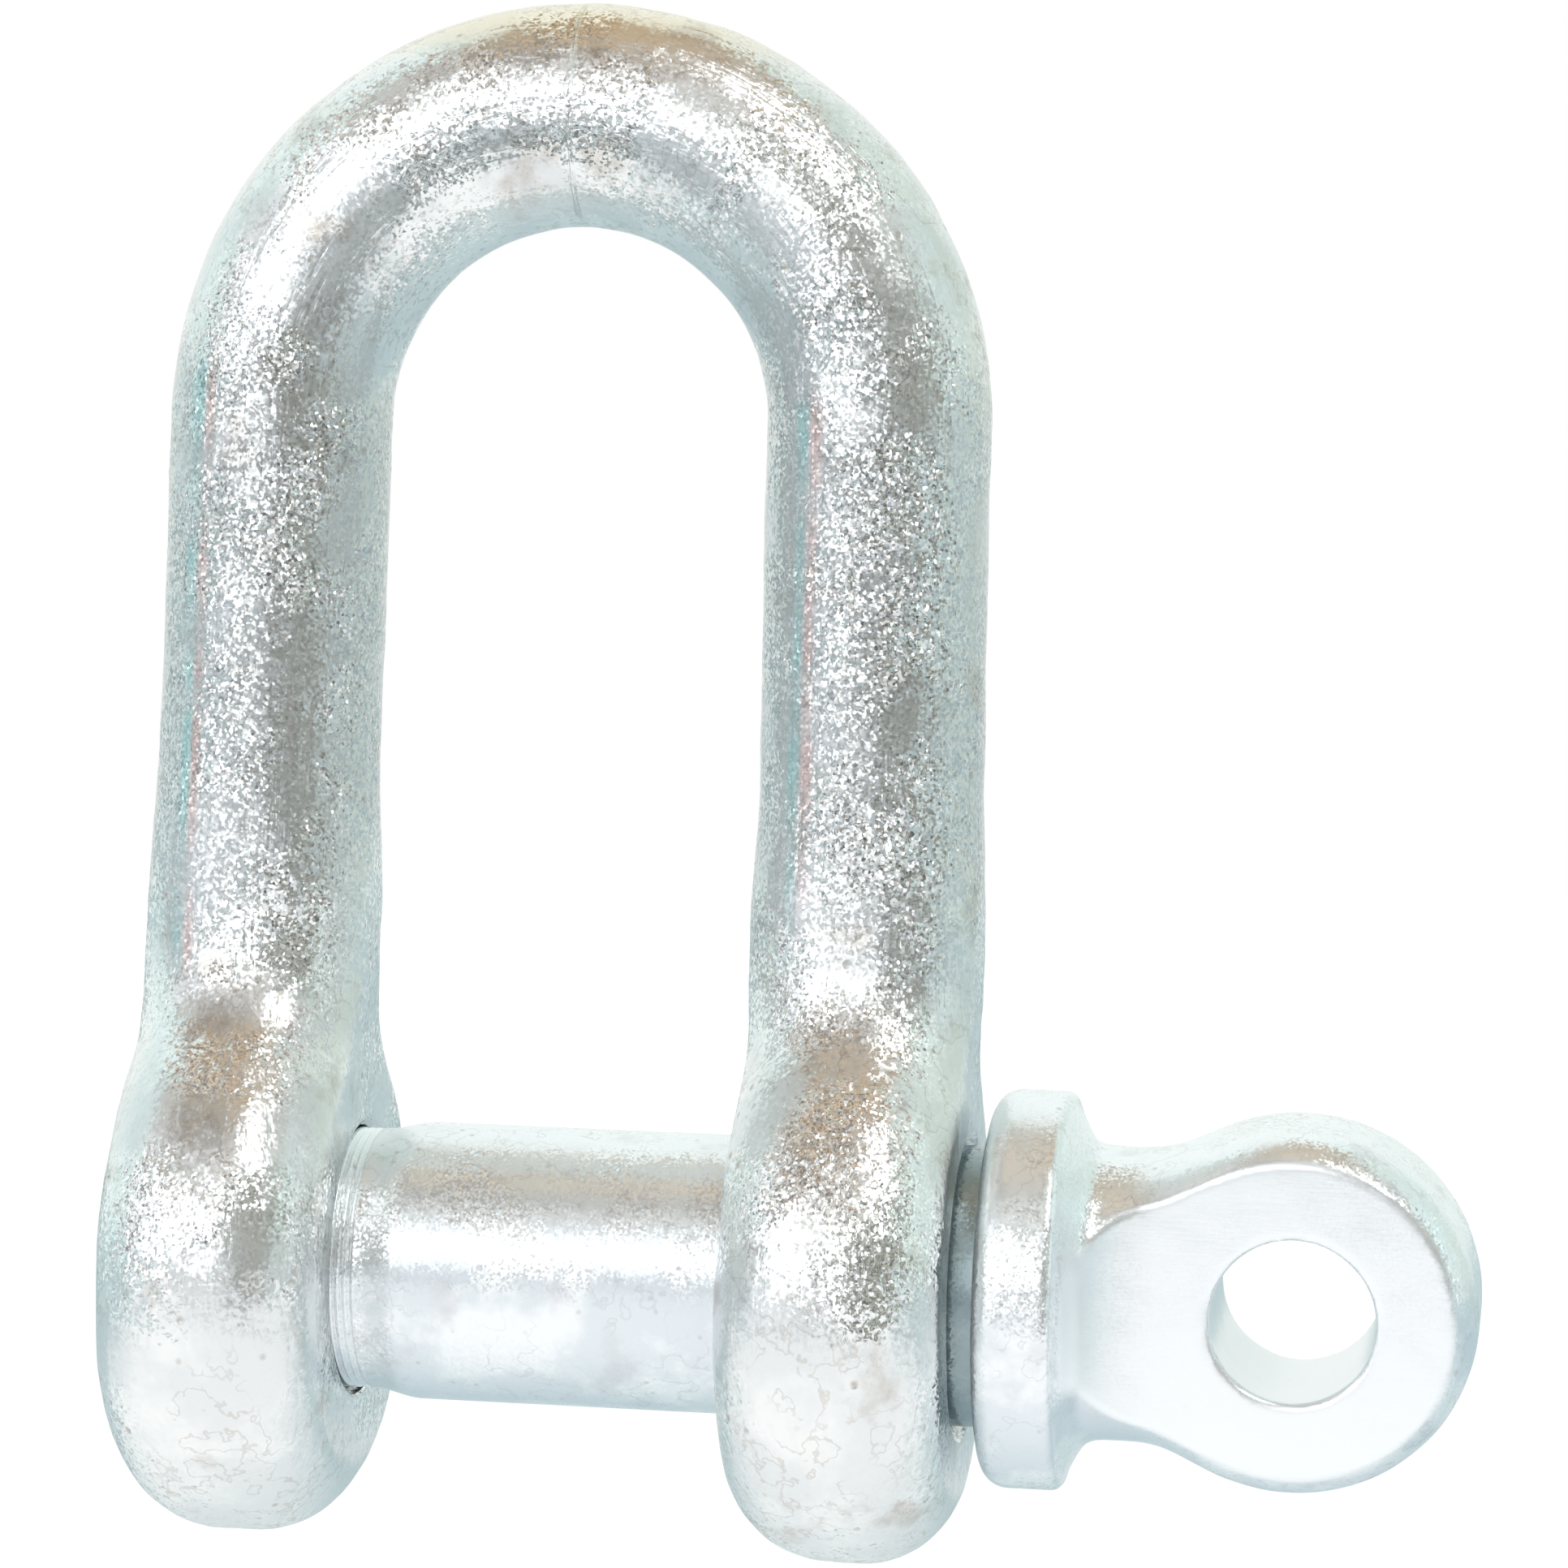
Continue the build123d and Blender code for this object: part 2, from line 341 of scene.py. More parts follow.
class ShapeTree(Tree):
    """A Geometry Nodes tree that makes one mesh from named sizes."""

    def __init__(self, name: str) -> None:
        """Starts an empty tree.

        Args:
            name: The tree's name.
        """
        super().__init__(bpy.data.node_groups.new(name, "GeometryNodeTree"))
        self.sizes: dict[str, float] = {}
        self.group_input = self.nodes.nodes.new("NodeGroupInput")

    def size(self, name: str, value: float) -> Value:
        """Adds a named input.

        Args:
            name: What the size is called.
            value: The size, in millimetres.

        Returns:
            The input's value in the tree.
        """
        self.nodes.interface.new_socket(name, in_out="INPUT", socket_type="NodeSocketFloat")
        self.sizes[name] = value
        return Value(self, self.group_input.outputs[name])

    def place(self) -> Value:
        """Returns the position field, in millimetres."""
        return self.scaled(self.add("GeometryNodeInputPosition"), 1 / MM)

    def rounded(self, side: Value, rim: Value, radius: Input) -> Value:
        """Rounds the edge between two faces.

        Args:
            side: Distance outside the one face.
            rim: Distance outside the other.
            radius: Radius of the rounding.

        Returns:
            The signed distance, negative inside both.
        """
        first, second = side + radius, rim + radius
        outside = first.at_least(0.0).beside(second.at_least(0.0))
        return outside + first.at_least(second).at_most(0.0) - radius

    def solid(self, distance: Value, low: Vector, high: Vector, voxel: float) -> Value:
        """Turns a distance field into a closed mesh.

        Args:
            distance: The signed distance in millimetres, negative inside.
            low: Lowest corner of the space to fill, in millimetres.
            high: Highest corner of it.
            voxel: Spacing of the samples, about the length of a mesh edge.

        Returns:
            The mesh.
        """
        counts = [math.ceil((top - bottom) / voxel) + 1 for bottom, top in zip(low, high)]
        top = [bottom + (count - 1) * voxel for bottom, count in zip(low, counts)]
        sockets = {"Density": distance / -voxel, "Background": OUTSIDE_DENSITY}
        sockets |= {"Min": [edge * MM for edge in low], "Max": [edge * MM for edge in top]}
        sockets |= {f"Resolution {axis.name}": counts[axis.value] for axis in Axis}
        volume = self.add("GeometryNodeVolumeCube", None, sockets)
        settings = {"resolution_mode": "GRID"}
        return self.add("GeometryNodeVolumeToMesh", settings, {"Volume": volume, "Threshold": 0.0})

    def uneven(self, place: Value, name: str, size_and_depth: Pair, seed: float) -> Value:
        """Makes a soft unevenness to add to a distance.

        Args:
            place: Where it is read, in millimetres.
            name: What its depth is called among the tree's sizes.
            size_and_depth: Size of its lumps and its whole depth.
            seed: Which noise of the family.

        Returns:
            A distance on both sides of 0.
        """
        size, depth = size_and_depth
        return (self.noise(place, size, detail=1.0, seed=seed) - 0.5) * self.size(name, depth)

    def stored(self, mesh: Value, kind: str, name: str, value: Value) -> Value:
        """Stores a value on the points of a mesh.

        Args:
            mesh: The mesh.
            kind: FLOAT or FLOAT_VECTOR.
            name: The attribute's name.
            value: What to store.

        Returns:
            The mesh with the attribute.
        """
        settings = {"data_type": kind, "domain": "POINT"}
        sockets = {"Geometry": mesh, "Name": name, "Value": value}
        return self.add("GeometryNodeStoreNamedAttribute", settings, sockets)

    def turned(self, place_along: Value, radius: Value, around: int, rows: int) -> Value:
        """Makes a closed turned piece on the X axis from a cylinder that stands on Z.

        Args:
            place_along: Place along X of each row, in millimetres.
            radius: Radius at each point, in millimetres.
            around: Number of points around.
            rows: Number of rows along.

        Returns:
            The mesh.
        """
        sockets = {"Vertices": around, "Side Segments": rows, "Radius": 1.0, "Depth": 1.0}
        blank = self.add("GeometryNodeMeshCylinder", {"fill_type": "TRIANGLE_FAN"}, sockets)
        x, y, _ = self.parts(self.add("GeometryNodeInputPosition"))
        moved = self.scaled(self.vector(place_along, x * radius, y * radius), MM)
        return self.add("GeometryNodeSetPosition", None, {"Geometry": blank, "Position": moved})

    def rows(self, *runs: Pair) -> Value:
        """Spreads a unit cylinder's rows unevenly along the axis.

        Args:
            runs: The share of the rows and the place along, in millimetres, where each run ends.
                The first one gives the start, with a share of 0.

        Returns:
            The place along the axis.
        """
        _, _, height = self.parts(self.add("GeometryNodeInputPosition"))
        share = height + 0.5
        _, along = runs[0]
        for (first, start), (last, end) in zip(runs, runs[1:]):
            part = (share - first).at_least(0.0).at_most(last - first)
            along = part * ((end - start) / (last - first)) + along
        return along

    def angle(self) -> Value:
        """Returns the angle about the axis of a unit cylinder, in turns."""
        x, y, _ = self.parts(self.add("GeometryNodeInputPosition"))
        return y.math("ARCTAN2", x) / math.tau

    def thread(self, along: Value, pitch: Input) -> Value:
        """Makes a right-hand thread's section.

        Args:
            along: Place along the axis.
            pitch: Advance of one turn.

        Returns:
            0 at the roots and 1 at the crests, with short flats on both.
        """
        root_flat, flank = 0.16, 0.70
        phase = (along / pitch - self.angle()).math("FRACT")
        ridge = abs(phase - 0.5) * 2.0
        return ((ridge - root_flat) / flank).at_least(0.0).at_most(1.0)

    def bake(self, shape: Value, name: str, material: bpy.types.Material) -> bpy.types.Object:
        """Ends the tree, runs it once and keeps only the plain mesh.

        Args:
            shape: The geometry that the tree makes.
            name: The piece's name.
            material: Its material.

        Returns:
            An object at the origin with no modifier left.
        """
        smooth = self.add("GeometryNodeSetShadeSmooth", None, {"Geometry": shape})
        real = self.add("GeometryNodeRealizeInstances", None, {"Geometry": smooth})
        dressed = self.add("GeometryNodeSetMaterial", None, {"Geometry": real, "Material": material})
        self.nodes.interface.new_socket("Geometry", in_out="OUTPUT", socket_type="NodeSocketGeometry")
        end = self.nodes.nodes.new("NodeGroupOutput")
        self.nodes.links.new(dressed.socket, end.inputs[0])
        piece = bpy.data.objects.new(name, bpy.data.meshes.new(name))
        bpy.context.scene.collection.objects.link(piece)
        modifier = piece.modifiers.new("Shape", "NODES")
        modifier.node_group = self.nodes
        for item in self.nodes.interface.items_tree:
            if item.in_out == "INPUT":
                modifier[item.identifier] = self.sizes[item.name]
        keep_plain_mesh(piece)
        return piece


def keep_plain_mesh(piece: bpy.types.Object) -> None:
    """Replaces a piece's mesh by what its modifiers make of it, and removes them.

    Args:
        piece: The object to make plain.
    """
    graph = bpy.context.evaluated_depsgraph_get()
    graph.update()
    mesh = bpy.data.meshes.new_from_object(piece.evaluated_get(graph))
    piece.modifiers.clear()
    piece.data = mesh
    mesh.name = piece.name
    mesh.set_sharp_from_angle(angle=SHARP_ANGLE)


def combine(base: bpy.types.Object, tool: bpy.types.Object, operation: str) -> None:
    """Joins or cuts one closed piece with another, which is used up.

    Args:
        base: The piece that stays.
        tool: The piece that is added or taken away.
        operation: UNION or DIFFERENCE.
    """
    modifier = base.modifiers.new("Combine", "BOOLEAN")
    modifier.operation = operation
    modifier.solver = "MANIFOLD"
    modifier.object = tool
    keep_plain_mesh(base)
    bpy.data.objects.remove(tool)


# Where each mark of the plating starts and where it is complete, on the noise or cells it is cut from.
PATCHES = (0.42, 0.58)
PITS = (0.20, 0.05)
PITTED_AREAS = (0.52, 0.60)
FILM = (0.56, 0.70)
VEINS = (0.022, 0.0)
VEINED_AREAS = (0.46, 0.58)
STREAKS = (0.50, 0.66)
UNBROKEN_LINES = (0.40, 0.56)

# How strongly each mark covers what is under it.
PIT_STAIN = 0.6
VEIN_STAIN = 0.35
COARSE_DULLING = 0.5
STREAK_DULLING = 0.3
# how strongly the teal and rose lines of painted reflection cover the legs' front
PAINTED_REFLECTION_LINES = 0.42
# how strongly the painted shade in the gap under the collar darkens the shank
PAINTED_GAP_SHADE = 0.7

# What duller patches, ground faces and coarse crystals make of the relief and of the crystals' tilt.
DULL_RELIEF = 0.3
GROUND_RELIEF = 0.3
DULL_TILT = 0.4
GROUND_TILT = 0.25
COARSE_TILT = 2.2
PIT_ROUGHNESS = 0.2


@dataclass
class Surface:
    """A finish in the making: what is known of each point, and its relief and colour so far."""

    tree: Tree
    place: Value  # object coordinates, in millimetres
    patch: Value  # 1 in the brighter and more uneven patches
    ground: Value  # 1 on ground faces
    pits: Value
    coarse: Value  # 1 where the crystals are coarse
    height: Value  # the relief, in millimetres
    colour: Value

    def cover(self, share: Value, colour: Colour) -> None:
        """Mixes a colour in as far as share says."""
        self.colour = self.tree.mix(share, self.colour, colour)


@dataclass(frozen=True, kw_only=True)
class ZincFinish:
    """Bright zinc plating over steel. Sizes are in millimetres."""

    slot: Slot
    tint: Colour  # the bright plating
    shade: Colour  # its duller patches
    dull: Colour  # its coarse crystals
    stain: Colour  # the film in pits, veins and patches
    film: float  # how strongly the stain shows in patches
    painted_top_reflection: Colour  # painted reflection on the piece's top: a warm tint on the crown, a bluish one on the pin
    painted_top_reflection_rise: Span  # heights between which it sets in
    roughness: Pair  # of the bright patches and of the dull ones
    metallic: float
    facet: Pair  # size and tilt of the crystals' faces
    coarse: Span  # heights between which they are coarse
    grain: Pair  # size and depth of the fine relief
    peel: Pair  # size and depth of soft hammered dimples
    patch: float  # size of the brighter and duller patches
    pit_depth: float

    def material(self) -> bpy.types.Material:
        """Builds the finish.

        Returns:
            A new node material.
        """
        material = bpy.data.materials.new(self.slot.value)
        material.use_nodes = True
        tree = Tree(material.node_tree)
        surface = self._plating(tree)
        self._stain(surface)
        self._mark(surface)
        matt = (1.0 - surface.patch).at_least(surface.ground)
        rough = matt.spread(*self.roughness) + surface.pits * PIT_ROUGHNESS
        relief = {"Height": surface.height * MM, "Distance": 1.0, "Strength": 1.0}
        normal = self._facets(surface, tree.add("ShaderNodeBump", None, relief))
        look = {"Base Color": surface.colour, "Metallic": self.metallic}
        look |= {"Roughness": rough, "Normal": normal}
        shader = tree.add("ShaderNodeBsdfPrincipled", None, look)
        tree.add("ShaderNodeOutputMaterial", None, {"Surface": shader})
        return material

    def _plating(self, tree: Tree) -> Surface:
        """Starts the finish with the clean plating.

        Args:
            tree: The tree to build in.

        Returns:
            Its places, relief and colour.
        """
        place = tree.scaled(tree.add("ShaderNodeTexCoord", None, None, "Object"), 1 / MM)
        patch = tree.noise(place, self.patch, detail=4.0, seed=1.0).ramp(*PATCHES)
        ground = tree.add("ShaderNodeAttribute", {"attribute_name": GROUND}, None, "Fac")
        pits = self._pits(tree, place)
        grain_size, grain_depth = self.grain
        peel_size, peel_depth = self.peel
        grain = tree.noise(place, grain_size, detail=3.0, seed=2.0) * grain_depth
        peel = tree.cells(place, peel_size, softness=0.7) * peel_depth
        height = (grain + peel) * patch.spread(DULL_RELIEF, 1.0) - pits * self.pit_depth
        height = height * ground.spread(1.0, GROUND_RELIEF)
        colour = tree.mix(patch.at_least(ground), self.shade, self.tint)
        return Surface(tree, place, patch, ground, pits, self._coarse(tree, place), height, colour)

    def _pits(self, tree: Tree, place: Value) -> Value:
        """Groups small pits.

        Args:
            tree: The tree to build in.
            place: Where they are read, in millimetres.

        Returns:
            1 in the pits and 0 elsewhere.
        """
        dimple_size, _ = self.peel
        pits = tree.cells(place, dimple_size * 3.0, softness=0.1).ramp(*PITS)
        return pits * tree.noise(place, self.patch * 0.6, seed=3.0).ramp(*PITTED_AREAS)

    def _coarse(self, tree: Tree, place: Value) -> Value:
        """Bounds the coarse crystals, with ragged ends.

        Args:
            tree: The tree to build in.
            place: Where they are read, in millimetres.

        Returns:
            1 where the crystals are coarse and dull and 0 elsewhere.
        """
        low, high = self.coarse
        tooth_size, tooth_length, soft = 9.0, 30.0, 5.0
        _, _, height = tree.parts(place)
        ragged = height + (tree.noise(place, tooth_size, detail=3.0, seed=9.0) - 0.5) * tooth_length
        return ragged.ramp(low - soft, low + soft) * ragged.ramp(high + soft, high - soft)

    def _veins(self, tree: Tree, place: Value) -> Value:
        """Draws thin crooked lines where the plating is thin.

        Args:
            tree: The tree to build in.
            place: Where they are read, in millimetres.

        Returns:
            1 in the lines and 0 elsewhere.
        """
        vein_size, area_size = 2.4, 6.0
        ridge = abs(tree.noise(place, vein_size, detail=3.0, seed=7.0) - 0.5)
        areas = tree.noise(place, area_size, detail=1.0, seed=8.0).ramp(*VEINED_AREAS)
        return ridge.ramp(*VEINS) * areas

    def _stain(self, surface: Surface) -> None:
        """Adds a painted reflection tint on the top, films, stains and dull crystals, which leave ground
        faces clean.

        Args:
            surface: The finish to stain.
        """
        tree, place = surface.tree, surface.place
        rest = 1.0 - surface.ground
        _, _, rise = tree.parts(place)
        film = tree.noise(place, self.patch * 0.8, detail=6.0, seed=4.0).ramp(*FILM)
        # painted reflection: tints the piece's top by height
        surface.cover(rise.ramp(*self.painted_top_reflection_rise) * rest, self.painted_top_reflection)
        surface.cover(film * rest * self.film, self.stain)
        surface.cover(surface.pits * rest * PIT_STAIN, self.stain)
        surface.cover(self._veins(tree, place) * rest * VEIN_STAIN, self.stain)
        surface.cover(surface.coarse * COARSE_DULLING, self.dull)

    def _mark(self, surface: Surface) -> None:
        """Adds the marks of how the piece was made, of which plain plating has none."""

    def _facets(self, surface: Surface, normal: Value) -> Value:
        """Tilts each crystal of the plating its own way.

        Args:
            surface: The finish so far.
            normal: The surface's direction.

        Returns:
            The tilted direction.
        """
        tree = surface.tree
        size, tilt = self.facet
        share = surface.patch.spread(DULL_TILT, 1.0) * surface.coarse.spread(1.0, COARSE_TILT)
        share = share * surface.ground.spread(1.0, GROUND_TILT) * tilt
        sockets = {"Vector": surface.place, "Scale": 1 / size}
        crystal = tree.add("ShaderNodeTexVoronoi", None, sockets, "Color")
        centred = tree.vector_math("SUBTRACT", crystal, (0.5, 0.5, 0.5))
        leaning = tree.vector_math("ADD", normal, tree.scaled(centred, share))
        return tree.vector_math("NORMALIZE", leaning)


@dataclass(frozen=True, kw_only=True)
class ForgedZinc(ZincFinish):
    """Zinc on the forged bar, with lines that follow the bar round its bend."""

    streaks: float  # depth of the drawn lines
    streak_size: float = 0.9
    stretch: float = 0.15  # scale of their pattern along the bar
    drift: Pair = (2.5, 1.2)  # size and width of the painted reflection lines' wandering
    line: Span = (0.62, 0.10)  # half width of such a line, at its faint edge and its full middle
    line_length: float = 9.0
    painted_reflection_lines: tuple[tuple[float, Colour], ...]  # the painted reflection lines' places across the bar and their colours

    def _mark(self, surface: Surface) -> None:
        """Draws streaks, and teal and rose lines of painted reflection along the front of the bar.

        Args:
            surface: The finish to mark.
        """
        tree = surface.tree
        flow = tree.add("ShaderNodeAttribute", {"attribute_name": FLOW}, None, "Vector")
        across, front, along = tree.parts(flow)
        drawn = tree.vector(across, front, along * self.stretch)
        streak = tree.noise(drawn, self.streak_size, detail=3.0, seed=5.0).ramp(*STREAKS)
        surface.height = surface.height - streak * self.streaks
        surface.cover(streak * STREAK_DULLING, self.shade)
        # painted reflection: teal and rose lines along the front of the legs
        unbroken = tree.noise(tree.vector(0.0, 0.0, along), self.line_length, seed=10.0)
        length = front.below(0.0) * unbroken.ramp(*UNBROKEN_LINES) * surface.coarse
        drift_size, drift_width = self.drift
        wander = across + (tree.noise(drawn, drift_size, seed=11.0) - 0.5) * drift_width
        for middle, colour in self.painted_reflection_lines:
            surface.cover(abs(wander - middle).ramp(*self.line) * length * PAINTED_REFLECTION_LINES, colour)


@dataclass(frozen=True, kw_only=True)
class MachinedZinc(ZincFinish):
    """Zinc on the turned pin, whose eye has ground faces."""

    rings: Pair  # size and depth of the lines turned round the pin
    scratches: Pair  # size and depth of the lines on ground faces
    scratch_lay: Pair = (0.12, 0.3)  # scales of their pattern along X and Y
    painted_gap_shade: Colour  # painted shade on the shank in the gap between the ear and the collar
    painted_gap_shade_start: Span = (24.2, 25.0)  # places along the pin between which it sets in
    painted_gap_shade_end: Span = (27.3, 27.0)  # and where it stops
    painted_gap_shade_radius: float = 9.2

    def _mark(self, surface: Surface) -> None:
        """Adds turned rings, the scratches of grinding, and painted shade on the shank under the collar.

        Args:
            surface: The finish to mark.
        """
        tree = surface.tree
        x, y, z = tree.parts(surface.place)
        out = y.beside(z)
        ring_size, ring_depth = self.rings
        scratch_size, scratch_depth = self.scratches
        rings = tree.noise(tree.vector(x, out, 0.0), ring_size, seed=6.0)
        along_x, along_y = self.scratch_lay
        lay = tree.vector(x * along_x, y * along_y, z)
        scratches = tree.noise(lay, scratch_size, seed=12.0)
        surface.height = surface.height + rings * (1.0 - surface.ground) * ring_depth
        surface.height = surface.height + scratches * surface.ground * scratch_depth
        # painted shade: darkens the shank in the narrow gap between the ear and the collar
        painted_gap_shade = x.ramp(*self.painted_gap_shade_start) * x.ramp(*self.painted_gap_shade_end) * out.below(self.painted_gap_shade_radius)
        surface.cover(painted_gap_shade * PAINTED_GAP_SHADE, self.painted_gap_shade)


FORGED_ZINC = ForgedZinc(
    slot=Slot.FORGED,
    tint=(0.90, 0.92, 0.915),
    shade=(0.80, 0.83, 0.835),
    dull=(0.55, 0.57, 0.58),
    stain=(0.44, 0.38, 0.31),
    film=0.55,
    # painted reflection: a warm tint on the crown's top
    painted_top_reflection=(0.88, 0.83, 0.69),
    painted_top_reflection_rise=(72.5, 76.0),
    roughness=(0.13, 0.28),
    metallic=0.96,
    facet=(0.18, 0.36),
    coarse=(22.0, 56.0),
    grain=(0.30, 0.020),
    peel=(0.60, 0.050),
    patch=6.0,
    pit_depth=0.05,
    streaks=0.02,
    # painted reflection lines, teal and rose
    painted_reflection_lines=((-3.9, (0.35, 0.80, 0.80)), (-3.1, (0.80, 0.45, 0.40))),
)
MACHINED_ZINC = MachinedZinc(
    slot=Slot.MACHINED,
    tint=(0.93, 0.965, 0.985),
    shade=(0.78, 0.84, 0.88),
    dull=(0.70, 0.72, 0.76),
    stain=(0.60, 0.58, 0.60),
    film=0.30,
    # painted reflection: a bluish tint on the pin's top
    painted_top_reflection=(0.91, 0.98, 1.00),
    painted_top_reflection_rise=(1.0, 6.0),
    roughness=(0.18, 0.28),
    metallic=0.75,
    facet=(0.14, 0.24),
    coarse=(90.0, 90.0),
    grain=(0.20, 0.006),
    peel=(0.42, 0.010),
    patch=5.0,
    pit_depth=0.015,
    rings=(0.22, 0.006),
    scratches=(0.16, 0.009),
    # colour of the painted shade in the gap under the collar
    painted_gap_shade=(0.14, 0.24, 0.26),
)


@dataclass
class ForgedBody:
    """The bent and forged bar with its two ears. Sizes are in millimetres."""

    finish: ZincFinish = FORGED_ZINC
    hole_finish: ZincFinish = MACHINED_ZINC
    bar_radius: float = 7.0
    crown_radius: float = 18.6
    crown_height: float = 51.9
    tangent: Pair = (18.599, 51.738)  # where the leg's centre line meets the crown's
    splay: float = math.radians(0.5)
    ear_x: float = 18.75
    ear_radius: float = 16.8
    ear_drop: float = 0.4
    ear_crown: float = 7.23  # half thickness before the flats are pressed
    ear_flat: float = 6.9
    ear_rounding: float = 6.2
    neck_ease: float = 8.0
    neck_rise: Span = (21.0, 31.0)  # heights between which the neck becomes the bar
    middle_rise: Span = (5.0, 20.0)  # heights between which the ear's middle moves to the leg's
    flat_top: float = 14.0  # height from which the pressed flats run out
    flat_slope: float = 0.1
    flat_edge: float = 0.25
    tapped_radius: float = 8.1
    bore_radius: float = 9.0
    thread_pitch: float = 2.0
    thread_depth: float = 0.42
    bevels: Pair = (1.0, 0.6)  # of the holes' outer and inner mouths
    bore_bevel: float = 0.6  # how much of them the bored hole has
    row_shares: Pair = (0.72, 0.80)  # shares of the cutter's rows up to the jaw and past it
    jaw_edge: float = 1.0  # how far its dense rows run into the jaw
    overshoot: float = 3.0  # how far it stands out of the ears
    lumps: Pair = (7.0, 0.30)  # size and depth of the forging's unevenness
    dents: Pair = (2.2, 0.16)  # size and depth of its dents
    inset: float = 0.18
    margin: float = 0.03  # least distance from the CAD box
    voxel: float = 0.42

    def build(self) -> bpy.types.Object:
        """Builds the body, cuts its holes and dresses it.

        Returns:
            The finished piece.
        """
        material = self.finish.material()
        body = self._forging(material)
        combine(body, self._hole_cutter(self.hole_finish.material()), "DIFFERENCE")
        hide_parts(BODY_NODE)
        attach(body, "shackle")
        return body

    def _leg(self, side: Value, z: Value) -> tuple[Value, Value]:
        """Measures from the bent bar's centre line.

        Args:
            side: Distance from the middle plane.
            z: Height.

        Returns:
            The distance outwards from the centre line in the plane of the bow, and the length along it.
        """
        foot_x, foot_z = self.tangent
        lean, upright = math.sin(self.splay), math.cos(self.splay)
        rise = z - self.crown_height
        leg = (side - foot_x) * upright + (z - foot_z) * lean
        arc = side.beside(rise) - self.crown_radius
        straight = z.below(foot_z)
        turn = side.math("ARCTAN2", rise) * self.crown_radius
        down = (foot_z - z) + self.crown_radius * (math.pi / 2 + self.splay)
        return arc.blend_to(leg, straight), turn.blend_to(down, straight)

    def _ear(self, tree: ShapeTree, side: Value, y: Value, z: Value) -> Value:
        """Makes the distance to the ear and its neck.

        Args:
            tree: The tree to build in.
            side: Distance from the middle plane.
            y: Depth.
            z: Height.

        Returns:
            The signed distance.
        """
        radius = tree.size("Ear radius", self.ear_radius)
        crown = tree.size("Ear crown", self.ear_crown)
        flat = tree.size("Ear flat", self.ear_flat)
        rounding = tree.size("Ear rounding", self.ear_rounding)
        above = z + self.ear_drop
        disc = y.beside(above) - radius
        neck = (abs(y) - self.bar_radius).at_least(-above)
        outline = disc.math("SMOOTH_MIN", neck, self.neck_ease)
        foot_x, foot_z = self.tangent
        leg_x = (foot_z - z) * math.tan(self.splay) + foot_x
        middle = (leg_x - self.ear_x) * z.ramp(*self.middle_rise) + self.ear_x
        across = abs(side - middle)
        plate = tree.rounded(outline, across - crown, rounding)
        fade = (z - self.flat_top).at_least(0.0) * self.flat_slope
        return plate.math("SMOOTH_MAX", across - flat - fade, self.flat_edge)

    def _forging(self, material: bpy.types.Material) -> bpy.types.Object:
        """Makes the solid body without its holes.

        Args:
            material: Its material.

        Returns:
            The forged body.
        """
        tree = ShapeTree(BODY_NODE)
        place = tree.place()
        x, y, z = tree.parts(place)
        side = abs(x)
        across, along = self._leg(side, z)
        bar = across.beside(y) - tree.size("Bar radius", self.bar_radius)
        ear = self._ear(tree, side, y, z)
        body = ear.blend_to(bar, z.ramp(*self.neck_rise))
        lumps = tree.uneven(place, "Lump depth", self.lumps, seed=11.0)
        dents = tree.uneven(place, "Dent depth", self.dents, seed=12.0)
        low, high = (Vector(corner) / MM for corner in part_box(BODY_NODE))
        low = low + Vector((self.margin, self.margin, self.margin))
        mesh = tree.solid(body + self.inset + lumps + dents, low, high, self.voxel)
        half = x.math("SIGN")
        flow = tree.vector(across * half, y, along * half)
        return tree.bake(tree.stored(mesh, "FLOAT_VECTOR", FLOW, flow), "forged_body", material)

    def _hole_cutter(self, material: bpy.types.Material) -> bpy.types.Object:
        """Makes the tapped hole and the clearance hole as one turned solid.

        Args:
            material: The material of the holes' walls.

        Returns:
            The cutter.
        """
        tree = ShapeTree("holes")
        tapped = tree.size("Tapped radius", self.tapped_radius)
        bore = tree.size("Bore radius", self.bore_radius)
        outside, inside = self.ear_x + self.ear_flat, self.ear_x - self.ear_flat
        reach, jaw = outside + self.overshoot, inside - self.jaw_edge
        before, behind = self.row_shares
        along = tree.rows((0.0, -reach), (before, -jaw), (behind, jaw), (1.0, reach))
        groove = tree.thread(along, tree.size("Pitch", self.thread_pitch))
        outer, inner = self.bevels
        from_face = (abs(along) - outside + outer).at_least(inside + inner - abs(along))
        mouth = from_face.at_least(0.0)
        tapped_hole = (groove * self.thread_depth + tapped).at_least(mouth + tapped)
        bored_hole = bore + mouth * self.bore_bevel
        radius = tapped_hole.blend_to(bored_hole, (-along).below(0.0))
        return tree.bake(tree.turned(along, radius, around=128, rows=220), "hole_cutter", material)


